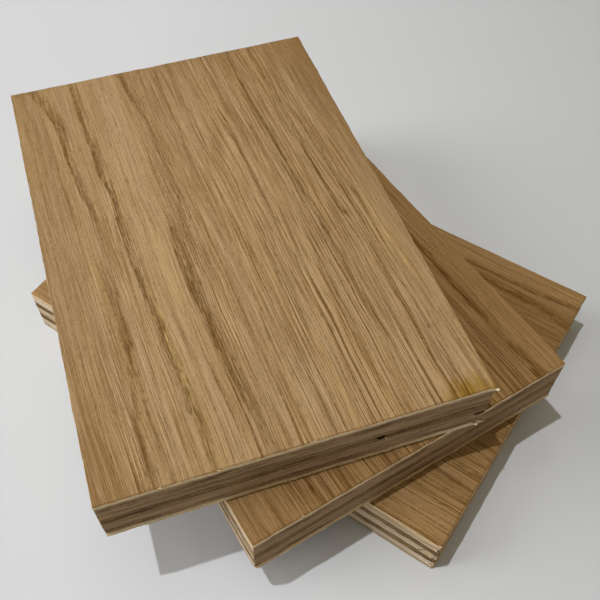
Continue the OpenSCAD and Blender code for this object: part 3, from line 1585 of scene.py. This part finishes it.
@dataclass(frozen=True)
class Portrait:
    """The camera that looks down on the stack from its near left side.

    place: Where it stands.
    azimuth, elevation: Direction towards it, in degrees.
    roll: Its tilt to one side, in degrees.
    frame_px: Width of the photograph in pixels.
    focal_px: Its focal length in those pixels.
    axis_px: Where its axis meets the photograph, from the upper left corner.
    film: Width of its film.
    """

    place: tuple[float, float, float] = (-128.1, -78.1, 214.0)
    azimuth: float = -54.57
    elevation: float = 55.76
    roll: float = -1.03
    frame_px: float = 600.0
    focal_px: float = 760.5
    axis_px: tuple[float, float] = (275.0, 336.0)
    film: float = 36.0

    def build(self) -> None:
        """Sets the camera up and makes it the scene's own."""
        data = bpy.data.cameras.new("portrait")
        data.sensor_fit = "HORIZONTAL"
        data.sensor_width = self.film
        data.lens = self.film * self.focal_px / self.frame_px
        data.shift_x = 0.5 - self.axis_px[0] / self.frame_px
        data.shift_y = self.axis_px[1] / self.frame_px - 0.5
        data.clip_start = MM
        camera = bpy.data.objects.new("portrait", data)
        place = Matrix.Translation(Vector(self.place) * MM)
        roll = Matrix.Rotation(math.radians(self.roll), 4, "Z")
        camera.matrix_world = place @ aimed(self.azimuth, self.elevation) @ roll
        bpy.context.scene.collection.objects.link(camera)
        bpy.context.scene.camera = camera


TOP_FIGURE = Figure(
    rings=(
        Ring(4.8, ((0, 6, 0.7), (8, 8.5, 0.8), (22, 11.8, 1), (45, 12.8, 1), (60, 15.2, 0.8),
                   (75, 16.8, 0.4), (90, 17.2, 0), (150, 18, 0))),
        Ring(3.6, ((0, 13, 0), (70, 14, 0), (85, 14.6, 0.4), (110, 15.4, 0.7), (130, 13.8, 0.7),
                   (150, 12.8, 0.8))),
        Ring(2.0, ((0, 17, 0), (70, 17.4, 0), (85, 17.3, 0.3), (100, 16.8, 0.45), (120, 16.5, 0.6),
                   (150, 18.8, 0.5))),
        Ring(3.8, ((0, 18.6, 0.7), (20, 19.6, 0.8), (38, 20.6, 0.9), (56, 22, 1), (75, 22.6, 0.9),
                   (100, 24.2, 1), (130, 27, 0.8), (150, 28.2, 0.7))),
        Ring(5.0, ((0, 35, 0.6), (10, 36.6, 0.7), (30, 39, 0.6), (50, 40, 0.6), (70, 41, 0.4),
                   (85, 41.6, 0), (150, 43, 0))),
        Ring(6.5, ((0, 37, 0), (60, 36.5, 0), (75, 35.8, 0.6), (92, 35.8, 0.85), (110, 37.4, 0.85),
                   (125, 39, 0.7), (140, 41, 0.6), (150, 42.6, 0.5))),
        Ring(1.1, ((0, 48, 0.4), (12, 47.3, 0.6), (25, 48.4, 0.6), (45, 48.2, 0.6), (60, 50, 0.2),
                   (85, 51, 0.5), (110, 51.6, 0.6), (150, 52.4, 0.4))),
        Ring(0.9, ((0, 52, 0), (40, 53.4, 0.2), (58, 53, 0.6), (75, 54, 0.5), (95, 56, 0.3),
                   (150, 57.5, 0.3))),
        Ring(1, ((0, 58, 0.3), (30, 62.8, 0.6), (45, 63.8, 0.9), (60, 65, 0.7), (80, 66, 0.6),
                 (150, 67.5, 0.5))),
        Ring(1.7, ((0, 73.2, 0.6), (25, 73.6, 0.8), (45, 75, 0.9), (72, 76.8, 1), (95, 78.2, 0.9),
                   (120, 79, 0.5), (150, 80, 0.5))),
        Ring(1.4, ((0, 80.5, 0.3), (20, 82.4, 0.7), (50, 82.8, 0.8), (75, 84.3, 0.9), (100, 87.3, 0.6),
                   (125, 88, 0.6), (150, 88.8, 0.5))),
        Ring(1, ((0, 84, 0.2), (40, 86.5, 0.3), (66, 88.6, 0.6), (90, 89.6, 0.4), (120, 91.6, 0.7),
                 (150, 92.4, 0.8))),
        Ring(0.6, ((0, 26, 0.2), (40, 27.5, 0.3), (80, 29.5, 0.35), (120, 32, 0.3), (150, 33.5, 0.35))),
        Ring(0.6, ((0, 29, 0.3), (60, 31, 0.3), (150, 36, 0.2))),
        Ring(0.7, ((0, 69.5, 0.2), (30, 70, 0.35), (70, 71.5, 0.4), (110, 72.5, 0.5), (150, 74, 0.4))),
        Ring(0.7, ((0, 59, 0), (80, 60.2, 0.2), (95, 60.4, 0.6), (110, 61.5, 0.3), (150, 62, 0.3))),
        Ring(0.6, ((0, 3, 0.2), (50, 3.5, 0.3), (100, 4, 0.35), (150, 7, 0.4))),
        Ring(1.0, ((0, 24, 0), (85, 25.4, 0), (96, 25.6, 0.5), (106, 26.3, 0.7), (118, 27, 0.7),
                   (130, 28, 0.4), (142, 28.6, 0), (150, 29, 0)), pale=True),
        Ring(0.8, ((0, 22, 0), (40, 23.6, 0), (52, 24, 0.5), (64, 24.4, 0.4), (72, 24.8, 0),
                   (150, 30, 0)), pale=True),
        Ring(0.8, ((0, 58, 0), (45, 59, 0), (55, 59.4, 0.4), (68, 60, 0.4), (80, 60.5, 0), (110, 62, 0),
                   (122, 62.6, 0.5), (140, 63.4, 0.4), (150, 64, 0.2)), pale=True),
        Ring(0.8, ((0, 86, 0), (70, 92, 0), (84, 93.4, 0.4), (104, 94.6, 0.5), (120, 95.6, 0),
                   (150, 97, 0)), pale=True),
    ),
    drift=0.055,
    wander=1.6,
    tint="ffffff",
    seed=1.0,
    stain=Stain(43.6, -74.6, 9.5),
    tones=((0, 0.6), (5, 0.56), (10, 0.54), (13, 0.46), (18, 0.36), (23, 0.36), (30, 0.2), (35, 0.34),
           (39, 0.46), (46, 0.42), (60, 0.42), (70, 0.38), (75, 0.48), (81, 0.36), (93, 0.44),
           (100, 0.5)),
    clarity=((0, 0.3), (9, 0.35), (12, 0.8), (14, 0.5), (18, 0.35), (20, 0.8), (22, 0.8), (26, 0.36),
             (34, 0.36), (37, 0.9), (46, 0.75), (60, 1.0), (75, 1.15), (91, 1.15), (94, 0.4),
             (100, 0.3)),
    far=0.28,
    twist=0.9,
)

MIDDLE_FIGURE = Figure(
    rings=(
        Ring(0.9, ((0, 1.5, 0.4), (150, 4.5, 0.5))),
        Ring(1.2, ((0, 5, 0.5), (150, 9, 0.6))),
        Ring(1.2, ((0, 10, 0.6), (130, 13.5, 0.7), (150, 14, 0.7))),
        Ring(0.9, ((0, 12, 0.5), (130, 15.2, 0.7), (150, 15.9, 0.8))),
        Ring(1.6, ((0, 16, 0.5), (130, 19.5, 0.8), (150, 20.5, 0.8))),
        Ring(0.9, ((0, 18.5, 0.5), (130, 22, 0.6), (150, 23, 0.7))),
        Ring(1.2, ((0, 28, 0.4), (150, 28.5, 0.5))),
        Ring(1.5, ((0, 38, 0.5), (150, 40, 0.5))),
        Ring(1.5, ((0, 52, 0.5), (150, 55, 0.5))),
        Ring(1.4, ((0, 66, 0.5), (150, 70, 0.6))),
        Ring(1.2, ((0, 78, 0.5), (80, 84, 0.4), (110, 85, 0.4), (150, 84.5, 0.4))),
        Ring(3.4, ((0, 85, 0.5), (80, 90.5, 0.6), (95, 90.2, 1), (120, 90.4, 1), (150, 91, 1))),
        Ring(1, ((0, 92, 0.4), (60, 96.8, 0.4), (100, 95.2, 0.4), (150, 95.5, 0.5))),
    ),
    drift=0.01,
    wander=2.0,
    tint="e3dac9",
    seed=2.0,
    tones=((0, 0.46), (15, 0.5), (70, 0.54), (84, 0.72), (90, 0.6), (95, 0.46), (100, 0.42)),
    clarity=((0, 0.15), (12, 0.2), (15, 1.0), (75, 0.85), (85, 0.6), (92, 0.6), (95, 0.25), (100, 0.2)),
)

BOTTOM_FIGURE = Figure(
    rings=(
        Ring(0.8, ((0, 4, 0.4), (150, 3.6, 0.6))),
        Ring(0.7, ((0, 8, 0.4), (150, 6.6, 0.5))),
        Ring(1, ((0, 13, 0.4), (130, 11.5, 0.6), (150, 10.8, 0.7))),
        Ring(0.8, ((0, 17, 0.4), (150, 14.4, 0.5))),
        Ring(1.2, ((0, 22, 0.5), (150, 18.6, 0.6))),
        Ring(1, ((0, 27, 0.4), (150, 23.4, 0.6))),
        Ring(1.4, ((0, 36, 0.5), (150, 30, 0.6))),
        Ring(1.5, ((0, 50, 0.5), (150, 44, 0.5))),
        Ring(1.6, ((0, 64, 0.5), (150, 58, 0.5))),
        Ring(2.4, ((0, 76, 0.5), (110, 78, 0.5), (150, 73.5, 0.6))),
        Ring(3.8, ((0, 84, 0.5), (112, 87.6, 1), (130, 87, 1), (150, 84.5, 0.9))),
        Ring(3.0, ((0, 89, 0.4), (95, 91.8, 0.8), (125, 91.5, 1), (150, 92.5, 1))),
        Ring(0.9, ((0, 96, 0.3), (150, 96.5, 0.4))),
    ),
    drift=-0.02,
    wander=2.0,
    tint="e1d8c7",
    seed=3.0,
    tones=((0, 0.06), (8, 0.14), (20, 0.28), (40, 0.36), (72, 0.56), (84, 0.78), (89, 0.68), (93, 0.46),
           (97, 0.36), (100, 0.32)),
    clarity=((0, 0.8), (45, 0.7), (70, 0.35), (88, 0.3), (93, 0.12), (100, 0.1)),
)

STACK = (
    Sheet(
        "bottom",
        turn=0.0,
        figure=BOTTOM_FIGURE,
        tears=(
            TornCorner(
                Side.LEFT,
                along=2.6,
                across=1.0,
                layers=(
                    (Layer.BACK_VENEER, 0.4),
                    (Layer.LOWER_PLY, 0.5),
                    (Layer.LOWER_CROSSBAND, 0.7),
                    (Layer.CENTRE_PLY, 0.4),
                    (Layer.UPPER_CROSSBAND, 0.6),
                    (Layer.UPPER_PLY, 0.5),
                    (Layer.FACE_VENEER, 0.4),
                ),
            ),
        ),
        cracks=(
            Crack(Layer.UPPER_CROSSBAND, distance=5.2, width=0.8, depth=0.5, lean=-38),
            Crack(Layer.CENTRE_PLY, distance=4.6, width=0.5, depth=0.5, lean=34),
            Crack(Layer.LOWER_CROSSBAND, distance=4.4, width=0.6, depth=0.4, lean=-30),
        ),
        splinters=(
            Splinter(Layer.CENTRE_PLY, (0.0, 3.8, 1.9), 2.6, 0.6, 0.8, yaw=168, pitch=-8),
            Splinter(Layer.LOWER_CROSSBAND, (0.4, 0.2, 1.2), 2.0, 0.7, 0.6, yaw=-60, pitch=6),
        ),
        nibbles=1,
    ),
    Sheet(
        "middle",
        turn=-24.6,
        figure=MIDDLE_FIGURE,
        voids=(EndVoid(Layer.LOWER_PLY, inset=12.0, width=1.8, height=1.0, depth=2.0),),
        tears=(
            TornCorner(Side.LEFT, 2.2, 0.9, layers=((Layer.FACE_VENEER, 0.4), (Layer.BACK_VENEER, 0.7))),
        ),
        nibbles=3,
    ),
    Sheet(
        "top",
        turn=-37.5,
        figure=TOP_FIGURE,
        voids=(
            EndVoid(Layer.CENTRE_PLY, inset=29.3, width=2.8, height=1.7, depth=4.0),
            EndVoid(Layer.LOWER_CROSSBAND, inset=2.0, width=2.9, height=1.5, depth=6.0),
        ),
        tears=(
            TornCorner(Side.RIGHT, 2.2, 0.9, layers=((Layer.FACE_VENEER, 0.35), (Layer.BACK_VENEER, 0.7))),
        ),
        splinters=(
            Splinter(Layer.CENTRE_PLY, (71.9, 0.3, 1.05), 1.1, 0.7, 0.5, yaw=172, pitch=10),
            Splinter(Layer.FACE_VENEER, (99.3, 0.5, 0.75), 1.7, 1.1, 0.5, yaw=-135, pitch=4),
            Splinter(Layer.BACK_VENEER, (97.6, 0.5, 0.7), 1.5, 1.2, 0.6, yaw=190, pitch=6),
            Splinter(Layer.BACK_VENEER, (99.1, 0.7, 0.8), 1.5, 0.9, 0.6, yaw=-150, pitch=10),
        ),
        nibbles=4,
    ),
)


def main() -> None:
    """Builds the stack and its studio, and reports each piece."""
    logging.basicConfig(level=logging.INFO, format="%(name)s: %(message)s")
    bpy.context.scene.view_settings.view_transform = "Standard"
    Portrait().build()
    Studio().build()
    for sheet in STACK:
        for piece in sheet.build():
            LOG.info("%s: %d faces", piece.name, len(piece.data.polygons))


if __name__ == "__main__":
    main()
